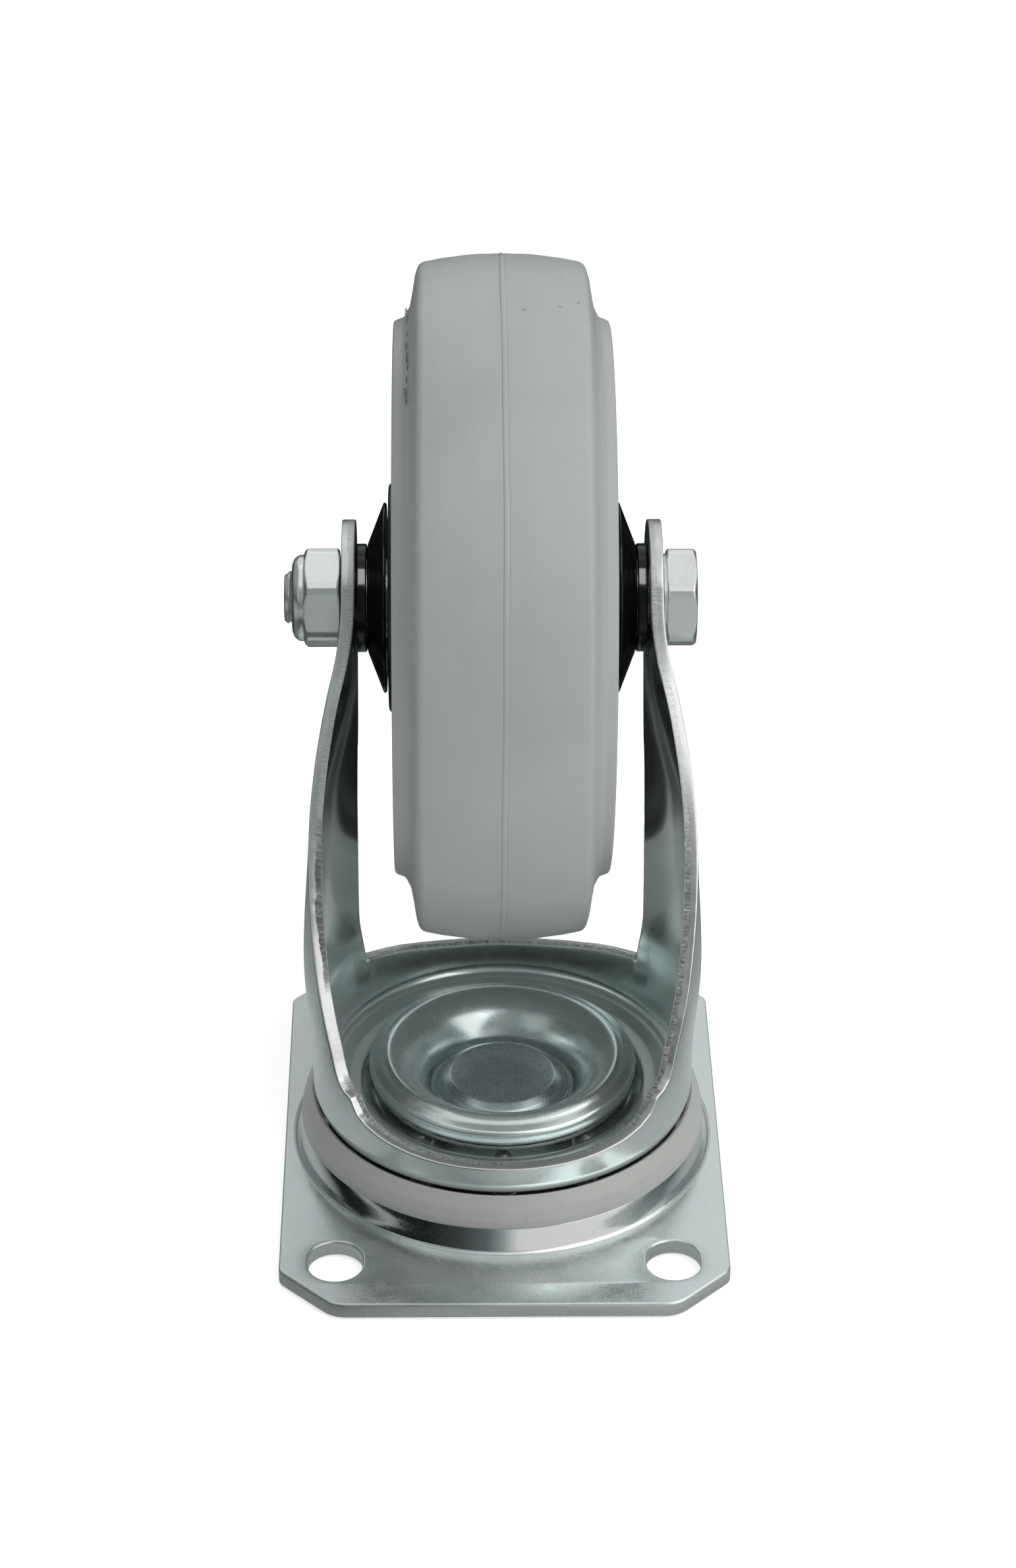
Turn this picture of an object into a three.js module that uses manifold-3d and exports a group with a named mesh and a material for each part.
// Swivel castor with a double ball race, standing on its mounting plate.
// Millimetres. Origin: swivel axis on the mounting face of the plate.
// +Z runs from the plate towards the wheel, the axle lies along X and the
// wheel trails towards +Y. Front is -Y, rear is +Y, left is -X, right is +X.
import * as THREE from 'three';
import { mergeVertices } from 'three/addons/utils/BufferGeometryUtils.js';
import Module from 'manifold-3d';

const wasm = await Module();
wasm.setup();

// ---------------------------------------------------------------- dimensions
const PLATE_X = 80;             // plate width, across the fork
const PLATE_Y = 105;            // plate length, along the trail
const PLATE_T = 3;              // sheet thickness of the plate
const PLATE_CHAMFER = 9.7;      // corner cut, each way
const SOFTEN_END = 2.4;         // softening of the chamfer corners on the Y ends
const SOFTEN_SIDE = 1.1;        // and on the X sides
const SOFTEN_PULL = 0.28;       // how far the middle point is drawn in from the corner
const SLOT_X = 60;              // slot spacing across
const SLOT_Y = 80;              // slot spacing along
const SLOT_W = 10;              // slot width (X)
const SLOT_L = 11.4;            // slot length (Y)
const PLATE_BORE_R = 36.2;      // opening in the flat sheet, filled by the boss

const AXLE_Y = 41;              // trail of the axle behind the swivel axis
const AXLE_Z = 92.5;            // axle height over the mounting face
const AT_AXLE = [0, AXLE_Y, AXLE_Z];

const WHEEL_R = 62.5;           // wheel radius
const TREAD_ROOT_HALF = 16.3;   // half width of the tread at its root
const CORE_HALF = 19.6;         // half width of the wheel body
const CORE_R = 50.5;            // shoulder radius of the rubber beside the tread
const HUB_HALF = 20.6;          // half length of the hub

const FORK_T = 2.5;             // fork sheet
const CROWN_R = 34.7;           // outer radius of the fork crown
const CROWN_HOLE_R = 17.3;      // hole in the crown floor
const TAB_R = 14;               // rounding of the axle tabs

const BOLT_R = 5;               // M10 axle bolt
const BOLT_HOLE_R = 5.25;       // bolt clearance in the fork and the sleeve
const HEX_AF = 17;              // across flats, bolt head and nut
const HEX_CLIP_R = 10.4;        // largest radius of the cones that chamfer the hexagons
const NUT_BORE_R = 5.2;
const SLEEVE_RO = 7.3;          // axle sleeve
const SLEEVE_HALF = 26.2;
const COVER_BORE_R = 7.6;       // bore of the hub covers and spacer collars

const BEARING_RO = 17.5;
const BEARING_BORE_R = 7.5;
const BEARING_W = 11;
const BEARING_BALL_R = 2.9;
const BEARING_PITCH_R = (BEARING_RO + BEARING_BORE_R) / 2;
const BEARING_BALLS = 7;
const BEARING_GROOVE_HALF = 1.3; // half width of the groove floor in both rings

// balls between plate and crown
const MAIN_RACE = {
  name: 'main', count: 12, ballR: 3.0, pitchR: 28.5, ballZ: 10.2,
  pocketR: 3.25, cageInnerR: 24.7, cageOuterR: 32.3, cageZ0: 9.7, cageZ1: 10.6,
};
// balls between crown and race cup
const LOWER_RACE = {
  name: 'lower', count: 8, ballR: 2.38, pitchR: 20.3, ballZ: 15.55,
  pocketR: 2.58, cageInnerR: 16.8, cageOuterR: 23.6, cageZ0: 15.2, cageZ1: 15.9,
};

// facets
const SEG_FORK = 48;            // fork crown
const SEG_BIG = 40;             // plate boss and dust ring
const SEG_WHEEL = 36;           // wheel, race cup and cages
const SEG_COVER = 28;           // hub covers
const SEG_PIN = 24;             // king pin
const SEG_SMALL = 20;           // bearings and axle hardware
const SEG_POCKET = 10;          // cage pockets
const SEG_SLOT_END = 8;         // each half-round slot end
const SEG_TAB = 12;             // rounding of the axle tabs
const SEG_BALL = 8;             // round every ball
const RINGS_RACE_BALL = 5;      // pole to pole
const RINGS_BEARING_BALL = 4;

// ------------------------------------------------------------------ helpers
function toSolid(geometry) {
  for (const name of Object.keys(geometry.attributes)) {
    if (name !== 'position') geometry.deleteAttribute(name);
  }
  const merged = mergeVertices(geometry, 1e-4);
  const coords = merged.attributes.position.array;
  const index = merged.index.array;
  const tris = [];
  for (let i = 0; i < index.length; i += 3) {
    const [a, b, c] = index.slice(i, i + 3);
    if (a !== b && b !== c && c !== a) tris.push(a, b, c);
  }
  // faces must point out: the sign of the enclosed volume decides the winding
  const corners = [new THREE.Vector3(), new THREE.Vector3(), new THREE.Vector3()];
  let volume = 0;
  for (let i = 0; i < tris.length; i += 3) {
    corners.forEach((corner, k) => corner.fromArray(coords, tris[i + k] * 3));
    volume += corners[0].dot(corners[1].cross(corners[2]));
  }
  if (volume < 0) tris.reverse();
  return new wasm.Manifold(new wasm.Mesh({
    numProp: 3,
    vertProperties: coords,
    triVerts: new Uint32Array(tris),
  }));
}

function toGeometry(solid) {
  const mesh = solid.getMesh();
  const geometry = new THREE.BufferGeometry();
  geometry.setAttribute('position', new THREE.Float32BufferAttribute(mesh.vertProperties, 3));
  geometry.setIndex(new THREE.Uint32BufferAttribute(mesh.triVerts, 1));
  geometry.computeVertexNormals();
  return geometry;
}

// (r, z) profile, closed back to its first point and turned about Z
function latheGeometry(profile, segments) {
  const points = [...profile, profile[0]].map(([r, z]) => new THREE.Vector2(r, z));
  return new THREE.LatheGeometry(points, segments).rotateX(Math.PI / 2);
}

const turnZ = (profile, segments) => toSolid(latheGeometry(profile, segments));

// the same for an (r, x) profile about X
function turnX(profile, segments) {
  return toSolid(latheGeometry(profile, segments).rotateY(Math.PI / 2));
}

function cylinderX(radius, x0, x1, segments) {
  const geometry = new THREE.CylinderGeometry(radius, radius, x1 - x0, segments);
  return toSolid(geometry.rotateZ(Math.PI / 2).translate((x0 + x1) / 2, 0, 0));
}

// centred on the origin
function cylinderZ(radius, height, segments) {
  const geometry = new THREE.CylinderGeometry(radius, radius, height, segments);
  return toSolid(geometry.rotateX(Math.PI / 2));
}

function ball(radius, rings) {
  return toSolid(new THREE.SphereGeometry(radius, SEG_BALL, rings));
}

const toVectors = (points) => points.map(([x, y]) => new THREE.Vector2(x, y));

function extrude(shape, depth) {
  return new THREE.ExtrudeGeometry(shape, { depth, bevelEnabled: false });
}

// (y, z) outline drawn out along X
function extrudeX(outline, x0, x1) {
  const toX = new THREE.Matrix4().set(
    0, 0, 1, x0,
    1, 0, 0, 0,
    0, 1, 0, 0,
    0, 0, 0, 1,
  );
  return toSolid(extrude(new THREE.Shape(toVectors(outline)), x1 - x0).applyMatrix4(toX));
}

// smooth interpolation through rows of [z, value], held constant past the ends
function valueAt(rows, z) {
  const last = rows.length - 1;
  if (z <= rows[0][0]) return rows[0][1];
  if (z >= rows[last][0]) return rows[last][1];
  let i = 0;
  while (z > rows[i + 1][0]) i++;
  const slope = (k) => {
    const [zBelow, below] = rows[Math.max(k - 1, 0)];
    const [zAbove, above] = rows[Math.min(k + 1, last)];
    return (above - below) / (zAbove - zBelow);
  };
  const [z0, value0] = rows[i];
  const [z1, value1] = rows[i + 1];
  const step = z1 - z0;
  const t = (z - z0) / step;
  const t2 = t * t;
  const t3 = t2 * t;
  return (2 * t3 - 3 * t2 + 1) * value0 + (t3 - 2 * t2 + t) * slope(i) * step
    + (-2 * t3 + 3 * t2) * value1 + (t3 - t2) * slope(i + 1) * step;
}

// ---------------------------------------------------------------- materials
const standard = (look) => new THREE.MeshStandardMaterial(look);
const zinc = ({ color = 0xb9c4c3, roughness = 0.32 } = {}) => (
  standard({ color, roughness, metalness: 0.95 })
);
const steel = () => standard({ color: 0xc9ccd0, roughness: 0.16, metalness: 1.0 });
const greyRubber = () => standard({ color: 0xa3aaaa, roughness: 0.55, metalness: 0.0 });
const blackPlastic = () => standard({ color: 0x151518, roughness: 0.25, metalness: 0.0 });
const ringPlastic = () => standard({ color: 0xb9b9b6, roughness: 0.6, metalness: 0.0 });
const nylon = () => standard({ color: 0xe8e6dc, roughness: 0.5, metalness: 0.0 });

const castor = new THREE.Group();

function add(name, solid, material, position = [0, 0, 0]) {
  const mesh = new THREE.Mesh(toGeometry(solid), material);
  mesh.name = name;
  mesh.position.set(...position);
  castor.add(mesh);
}

// ------------------------------------------------------------ mounting plate
// chamfered rectangle, each of its eight corners softened by three points
function plateOutline() {
  const endY = PLATE_Y / 2;
  const sideX = PLATE_X / 2;
  const endX = sideX - PLATE_CHAMFER;
  const sideY = endY - PLATE_CHAMFER;
  const corners = toVectors([
    [endX, -endY], [sideX, -sideY], [sideX, sideY], [endX, endY],
    [-endX, endY], [-sideX, sideY], [-sideX, -sideY], [-endX, -endY],
  ]);
  return corners.flatMap((corner, i) => {
    const previous = corners[(i + 7) % 8];
    const next = corners[(i + 1) % 8];
    const back = previous.clone().sub(corner).normalize();
    const ahead = next.clone().sub(corner).normalize();
    const soften = Math.abs(corner.y) === endY ? SOFTEN_END : SOFTEN_SIDE;
    return [
      corner.clone().addScaledVector(back, soften),
      corner.clone().addScaledVector(back.clone().add(ahead), soften * SOFTEN_PULL),
      corner.clone().addScaledVector(ahead, soften),
    ];
  });
}

function slotPath(centreX, centreY) {
  const radius = SLOT_W / 2;
  const points = [];
  for (const end of [1, -1]) {
    const endY = centreY + end * (SLOT_L - SLOT_W) / 2;
    for (let i = 0; i <= SEG_SLOT_END; i++) {
      const angle = Math.PI * i / SEG_SLOT_END + (end < 0 ? Math.PI : 0);
      points.push([centreX + radius * Math.cos(angle), endY + radius * Math.sin(angle)]);
    }
  }
  return new THREE.Path(toVectors(points));
}

// pressed boss (r, z): foot fillet, wall, shoulder under the dust ring, ball
// groove, inner land and the seat clamped by the king pin, then the underside
const BOSS = [
  [38.6, 0], [38.6, PLATE_T], [37.9, 3.2], [36.4, 7.0], [35.9, 7.2],
  [32.2, 7.9], [30.0, 7.05], [27.0, 7.05], [24.8, 8.0],
  [16.6, 8.0], [14.6, 9.7], [6.3, 9.7],
  [6.3, 6.7], [13.6, 6.7], [15.6, 5.0], [24.2, 5.0], [26.8, 4.0], [33.3, 4.0], [34.2, 0],
];

function mountingPlate() {
  const shape = new THREE.Shape(plateOutline());
  for (const sx of [-1, 1]) {
    for (const sy of [-1, 1]) shape.holes.push(slotPath(sx * SLOT_X / 2, sy * SLOT_Y / 2));
  }
  return toSolid(extrude(shape, PLATE_T))
    .subtract(cylinderZ(PLATE_BORE_R, 20, SEG_BIG))
    .add(turnZ(BOSS, SEG_BIG));
}

// ------------------------------------------- parts turned about the swivel axis
// (r, z) profiles
const DUST_RING = [
  [35.1, 7.6], [36.85, 7.45], [36.6, 9.0], [35.8, 11.4], [34.85, 13.2], [33.9, 12.5],
  [34.7, 9.4],
];

// head, neck, head
const KING_PIN = [
  [0, 0], [10.6, 0], [11, 0.4], [11, 6.4],
  [6, 6.4], [6, 12.5],
  [12.2, 12.5], [11.9, 13.6], [10.9, 15.0], [9.2, 15.6], [0, 15.6],
];

const RACE_CUP = [
  [6.3, 12.2], [13.0, 12.2], [14.3, 16.4], [17.6, 19.6], [19.6, 20.35],
  [21.4, 20.3], [23.4, 19.5], [24.3, 18.8], [24.3, 16.6], [23.2, 16.6],
  [22.6, 17.5], [21.6, 18.2], [19.6, 18.3], [16.2, 16.3], [15.8, 11.4],
  [14.4, 10.0], [6.3, 10.0],
];

// ------------------------------------------------------- ball races
// flat cage with a round pocket for each ball, then the balls
function addRace(race) {
  const { name, count, pitchR, cageInnerR, cageOuterR, cageZ0, cageZ1 } = race;
  const places = Array.from({ length: count }, (_, i) => {
    const angle = (2 * Math.PI * i) / count;
    return [pitchR * Math.cos(angle), pitchR * Math.sin(angle)];
  });
  let cage = turnZ([
    [cageInnerR, cageZ0], [cageOuterR, cageZ0], [cageOuterR, cageZ1], [cageInnerR, cageZ1],
  ], SEG_WHEEL);
  const pocket = cylinderZ(race.pocketR, 6, SEG_POCKET);
  for (const [x, y] of places) {
    cage = cage.subtract(pocket.translate([x, y, (cageZ0 + cageZ1) / 2]));
  }
  add(`${name}_race_cage`, cage, zinc());
  const raceBall = ball(race.ballR, RINGS_RACE_BALL);
  places.forEach(([x, y], i) => {
    const number = String(i + 1).padStart(2, '0');
    add(`${name}_ball_${number}`, raceBall, steel(), [x, y, race.ballZ]);
  });
}

// ------------------------------------------------------------------ fork
// The crown and the wall round it are turned; above ROUND_TOP the wall is
// drawn out into two legs that lean back and flatten into the axle tabs. A
// side outline then trims the rim and the legs.
const ROUND_TOP = 26;           // the wall is round up to here
const REAR_TANGENT = [86.4, 53.6]; // [z, y] where the rear edge meets the tab rounding
const FRONT_TANGENT = [100.1, 29.3]; // [z, y] where the front edge meets it
const EDGE_OVERRUN = 0.24;      // the section runs past both edges, for the trim
const REAR_SPREAD_TOP = 62;     // below this the rear overrun goes on sideways
const FAR = 60;                 // reach of the cutting bodies, clear of the fork

// edges of the right leg's section, rows of [z, value]
const FRONT_Y = [
  [ROUND_TOP, -18.2], [29, -16.6], [35.5, -13.4], [42.5, -9.3], [52, -2.9],
  [67, 7.5], [80, 16.4], [100.1, 29.5], [112, 37.2],
];
const FRONT_X = [
  [ROUND_TOP, 29.4], [35.5, 32.1], [42.5, 33.5], [52, 34.6], [60, 34.9], [67, 34.6],
  [74, 33.7], [80, 32.5], [85, 31.3], [90, 30.0], [95, 29.2], [100, 29], [112, 29],
];
const REAR_Y = [
  [ROUND_TOP, 21.0], [35, 25.4], [45, 30.9], [60, 38.9], [75, 47.2], REAR_TANGENT,
  [112, 67.6],
];
const REAR_X = [[ROUND_TOP, 27.6], [35, 28.25], [45, 28.6], [60, 28.9], [75, 29], [112, 29]];
// outward bulge midway between the edges
const BULGE = [
  [ROUND_TOP, 6.2], [35, 5.8], [42.5, 4.6], [53, 2.8], [60, 1.9], [67, 1.3],
  [74, 0.8], [80, 0.4], [86, 0.1], [92, 0], [112, 0],
];
// exponent that keeps the flare of the front edge near that edge higher up, so
// that the tab is flat under the nut and the bolt head
const FLARE = [[ROUND_TOP, 1], [62, 1], [75, 2.4], [84, 5], [112, 5]];

// angle about Z from the front, 0 at -Y to PI at +Y
const angleFromFront = (x, y) => Math.atan2(Math.abs(x), -y);
const FRONT_ANGLE = angleFromFront(FRONT_X[0][1], FRONT_Y[0][1]);
const REAR_ANGLE = angleFromFront(REAR_X[0][1], REAR_Y[0][1]);

// point of the leg section at height z, s = 0 front edge, 1 rear edge
function legPoint(z, s) {
  const frontX = valueAt(FRONT_X, z);
  const frontY = valueAt(FRONT_Y, z);
  const rearX = valueAt(REAR_X, z);
  const rearY = valueAt(REAR_Y, z);
  const dx = rearX - frontX;
  const dy = rearY - frontY;
  const chord = Math.hypot(dx, dy);
  const bulge = valueAt(BULGE, z) * 4 * s * (1 - s);
  let x = rearX;
  if (s <= 1) x -= dx * Math.pow(1 - s, valueAt(FLARE, z));
  else if (z < REAR_SPREAD_TOP) x += (s - 1) * dx;
  return [x + (dy / chord) * bulge, frontY + dy * s - (dx / chord) * bulge];
}

// the same point moved inwards, square to the section
function legPointInset(z, s, inset) {
  const [x, y] = legPoint(z, s);
  const [x0, y0] = legPoint(z, s - 0.01);
  const [x1, y1] = legPoint(z, s + 0.01);
  const length = Math.hypot(x1 - x0, y1 - y0);
  return [x - ((y1 - y0) / length) * inset, y + ((x1 - x0) / length) * inset];
}

// moves the turned wall above ROUND_TOP onto the leg sections
function drawOutLegs(geometry) {
  const position = geometry.attributes.position;
  const span = REAR_ANGLE - FRONT_ANGLE;
  for (let i = 0; i < position.count; i++) {
    const x = position.getX(i);
    const y = position.getY(i);
    const z = position.getZ(i);
    if (z <= ROUND_TOP + 1e-3) continue;
    const inner = Math.hypot(x, y) < CROWN_R - FORK_T / 2;
    const angle = angleFromFront(x, y);
    const s = (angle - FRONT_ANGLE) / span;
    const held = THREE.MathUtils.clamp(s, -EDGE_OVERRUN, 1 + EDGE_OVERRUN);
    const heldAngle = FRONT_ANGLE + held * span;
    let [legX, legY] = legPointInset(z, held, inner ? FORK_T : 0);
    // past the overrun the wall closes in to the middle plane
    if (s < held) legX *= angle / heldAngle;
    if (s > held) legX *= (Math.PI - angle) / (Math.PI - heldAngle);
    if (Math.abs(x) < 1e-3) legX = 0;
    position.setXYZ(i, x < 0 ? -legX : legX, legY, z);
  }
}

// (r, z) floor of the crown, upper face from the hole outwards
const CROWN_FLOOR_TOP = [
  [CROWN_HOLE_R, 13.4], [20.3, 12.95], [24.2, 13.8], [26.2, 15.4], [29.8, 15.8], [31.6, 16.6],
];
// (r, z) lower face from the wall inwards
const CROWN_FLOOR_UNDER = [
  [34.6, 15.0], [34.0, 13.5], [32.8, 12.7], [31.1, 12.6], [30.0, 13.45], [27.2, 13.45],
  [24.6, 11.1], [20.3, 10.4], [CROWN_HOLE_R, 10.7],
];
const WALL_FOOT_INNER = 18.3;
const WALL_FOOT_OUTER = 17.6;
const WALL_LEVELS = [ROUND_TOP, 31, 38, 46, 56, 66, 75, 83, 90, 97, 108];

// side outline (y, z): front rim and front edge of the legs
const TRIM_FRONT = [
  [-FAR, 5], [-FAR, 18.7], [-34.0, 18.7], [-30.5, 19.1], [-27.3, 19.8], [-24.6, 20.8],
  [-22.6, 22.1], [-21.6, 23.6], [-21.3, 24.7], [-19.4, 25.0], [-17.6, 25.9], [-16.6, 28.0],
  [-15.0, 32.2], [-12.9, 36.6], [-9.3, 42.5], [-2.9, 52.0],
];
// (y, z) rear edge of the legs downwards and rear rim
const TRIM_REAR = [
  [46.6, 74.0], [38.8, 60], [30.9, 45], [25.0, 34.4], [22.7, 30.3], [21.6, 28.4],
  [21.7, 27.3], [22.8, 26.4], [24.8, 25.7], [28.7, 24.5], [31.5, 23.4], [34.0, 22.6],
  [FAR, 22.4], [FAR, 5],
];

// (y, z) rounding of the axle tab from the front tangent over the top
function tabRounding() {
  const [start, end] = [FRONT_TANGENT, REAR_TANGENT]
    .map(([z, y]) => Math.atan2(z - AXLE_Z, y - AXLE_Y));
  const points = [];
  for (let i = 0; i <= SEG_TAB; i++) {
    const angle = start + (end - start) * (i / SEG_TAB);
    points.push([AXLE_Y + TAB_R * Math.cos(angle), AXLE_Z + TAB_R * Math.sin(angle)]);
  }
  return points;
}

function fork() {
  const innerR = CROWN_R - FORK_T;
  const body = latheGeometry([
    ...CROWN_FLOOR_TOP,
    ...[WALL_FOOT_INNER, ...WALL_LEVELS].map((z) => [innerR, z]),
    ...[WALL_FOOT_OUTER, ...WALL_LEVELS].reverse().map((z) => [CROWN_R, z]),
    ...CROWN_FLOOR_UNDER,
  ], SEG_FORK);
  drawOutLegs(body);
  return toSolid(body)
    .intersect(extrudeX([...TRIM_FRONT, ...tabRounding(), ...TRIM_REAR], -FAR, FAR))
    .subtract(cylinderX(BOLT_HOLE_R, -FAR, FAR, SEG_SMALL).translate(AT_AXLE));
}

// ----------------------------------------------------------------- wheel
// (r, x) half profiles, mirrored to the other side of the wheel
const TYRE_HALF = [
  [45.4, 11.6], [47.6, 11.6], [47.6, CORE_HALF - 0.2], [CORE_R, CORE_HALF], [51.9, 17.2],
  [54.0, TREAD_ROOT_HALF], [59.3, 15.2], [60.9, 13.6], [61.7, 10.5], [WHEEL_R, 3.0],
];
const WHEEL_CORE_HALF = [
  [45.0, 12.0], [47.2, 12.0], [47.2, 19.0], [46.6, CORE_HALF], [43.8, CORE_HALF],
  [41.0, 16.8], [23.0, 16.8], [20.6, HUB_HALF], [17.7, HUB_HALF], [17.7, 9.4], [14.2, 9.4],
];

function turnMirrored(half) {
  const mirrored = half.map(([r, x]) => [r, -x]).reverse();
  return turnX([...half, ...mirrored], SEG_WHEEL);
}

// bearing, hub cover and spacer collar of one side
function addHubSide(side, sx) {
  const addTurned = (name, profile, segments, material) => {
    const placed = profile.map(([r, x]) => [r, sx * x]);
    add(`${name}_${side}`, turnX(placed, segments), material, AT_AXLE);
  };
  // ring with a groove, from its mounting radius to its edge and groove radii
  const ring = (mountR, edgeR, grooveR) => {
    const middle = HUB_HALF - BEARING_W / 2;
    const inner = HUB_HALF - BEARING_W;
    return [
      [mountR, inner], [mountR, HUB_HALF], [edgeR, HUB_HALF],
      [grooveR, middle + BEARING_GROOVE_HALF], [grooveR, middle - BEARING_GROOVE_HALF],
      [edgeR, inner],
    ];
  };
  addTurned('bearing_outer_ring', ring(BEARING_RO, 14.9, 15.7), SEG_SMALL, steel());
  addTurned('bearing_inner_ring', ring(BEARING_BORE_R, 10.0, 9.25), SEG_SMALL, steel());
  const bearingBall = ball(BEARING_BALL_R, RINGS_BEARING_BALL);
  for (let i = 0; i < BEARING_BALLS; i++) {
    const angle = (2 * Math.PI * i) / BEARING_BALLS;
    add(`bearing_ball_${side}_${i + 1}`, bearingBall, steel(), [
      sx * (HUB_HALF - BEARING_W / 2),
      AXLE_Y + BEARING_PITCH_R * Math.cos(angle),
      AXLE_Z + BEARING_PITCH_R * Math.sin(angle),
    ]);
  }
  addTurned('hub_cover', [
    [COVER_BORE_R, 20.9], [17.3, 20.9], [17.3, 21.5], [10.0, 24.25], [COVER_BORE_R, 24.25],
  ], SEG_COVER, blackPlastic());
  addTurned('spacer_collar', [
    [COVER_BORE_R, 24.55], [9.9, 24.55], [9.9, SLEEVE_HALF], [COVER_BORE_R, SLEEVE_HALF],
  ], SEG_SMALL, blackPlastic());
}

// ---------------------------------------------------------- axle hardware
// All built about X with the axle as origin.
function axleSleeve() {
  return turnX([
    [BOLT_HOLE_R, -SLEEVE_HALF], [SLEEVE_RO, -SLEEVE_HALF],
    [SLEEVE_RO, SLEEVE_HALF], [BOLT_HOLE_R, SLEEVE_HALF],
  ], SEG_SMALL);
}

function hexPrism(x0, x1, turnDegrees) {
  const cornerR = HEX_AF / Math.sqrt(3);
  const outline = [];
  for (let i = 0; i < 6; i++) {
    const angle = THREE.MathUtils.degToRad(turnDegrees) + (Math.PI / 3) * i;
    outline.push([cornerR * Math.cos(angle), cornerR * Math.sin(angle)]);
  }
  return extrudeX(outline, x0, x1);
}

// head on the right with a round collar under it, shank pointed at the left
function axleBolt() {
  const headChamfer = turnX([
    [0, 29.0], [HEX_CLIP_R, 29.0], [HEX_CLIP_R, 34.5], [8.6, 35.4], [0, 35.4],
  ], SEG_SMALL);
  const shank = turnX([
    [0, -39.6], [4.35, -39.6], [BOLT_R, -38.8], [BOLT_R, 30.5], [0, 30.5],
  ], SEG_SMALL);
  return hexPrism(29.7, 35.4, 23.8)
    .intersect(headChamfer)
    .add(cylinderX(7.9, 29.4, 30.5, SEG_SMALL))
    .add(shank);
}

// hexagon with a round crown on its left end, which is bored for the insert
function lockNut() {
  const chamfer = turnX([
    [0, -29.4], [8.6, -29.4], [HEX_CLIP_R, -30.3], [HEX_CLIP_R, -34.4], [8.5, -35.6],
    [0, -35.6],
  ], SEG_SMALL);
  const crown = turnX([
    [0, -34.5], [8.0, -34.5], [7.9, -36.6], [7.2, -37.6], [6.2, -38.1], [0, -38.1],
  ], SEG_SMALL);
  return hexPrism(-35.7, -29.4, 21.8)
    .intersect(chamfer)
    .add(crown)
    .subtract(cylinderX(NUT_BORE_R, -36.5, -28, SEG_SMALL))
    .subtract(cylinderX(6.6, -40, -35.9, SEG_SMALL));
}

function nutInsert() {
  return turnX([
    [NUT_BORE_R, -37.7], [6.4, -37.7], [6.4, -36.1], [NUT_BORE_R, -36.1],
  ], SEG_SMALL);
}

// --------------------------------------------------------------- assembly
add('mounting_plate', mountingPlate(), zinc({ color: 0xb4c2c0, roughness: 0.3 }));
add('dust_ring', turnZ(DUST_RING, SEG_BIG), ringPlastic());
add('king_pin', turnZ(KING_PIN, SEG_PIN), zinc({ color: 0x9fb0ae, roughness: 0.3 }));
add('race_cup', turnZ(RACE_CUP, SEG_WHEEL), zinc({ color: 0xaab8b6, roughness: 0.28 }));
addRace(MAIN_RACE);
addRace(LOWER_RACE);
add('fork', fork(), zinc({ color: 0xb0bebc, roughness: 0.3 }));
add('tyre', turnMirrored(TYRE_HALF), greyRubber(), AT_AXLE);
add('wheel_core', turnMirrored(WHEEL_CORE_HALF), blackPlastic(), AT_AXLE);
addHubSide('left', -1);
addHubSide('right', 1);
add('axle_sleeve', axleSleeve(), zinc(), AT_AXLE);
add('axle_bolt', axleBolt(), zinc({ color: 0xc6cbc9, roughness: 0.25 }), AT_AXLE);
add('lock_nut', lockNut(), zinc({ color: 0xbcc4c2, roughness: 0.25 }), AT_AXLE);
add('nut_insert', nutInsert(), nylon(), AT_AXLE);

export default castor;
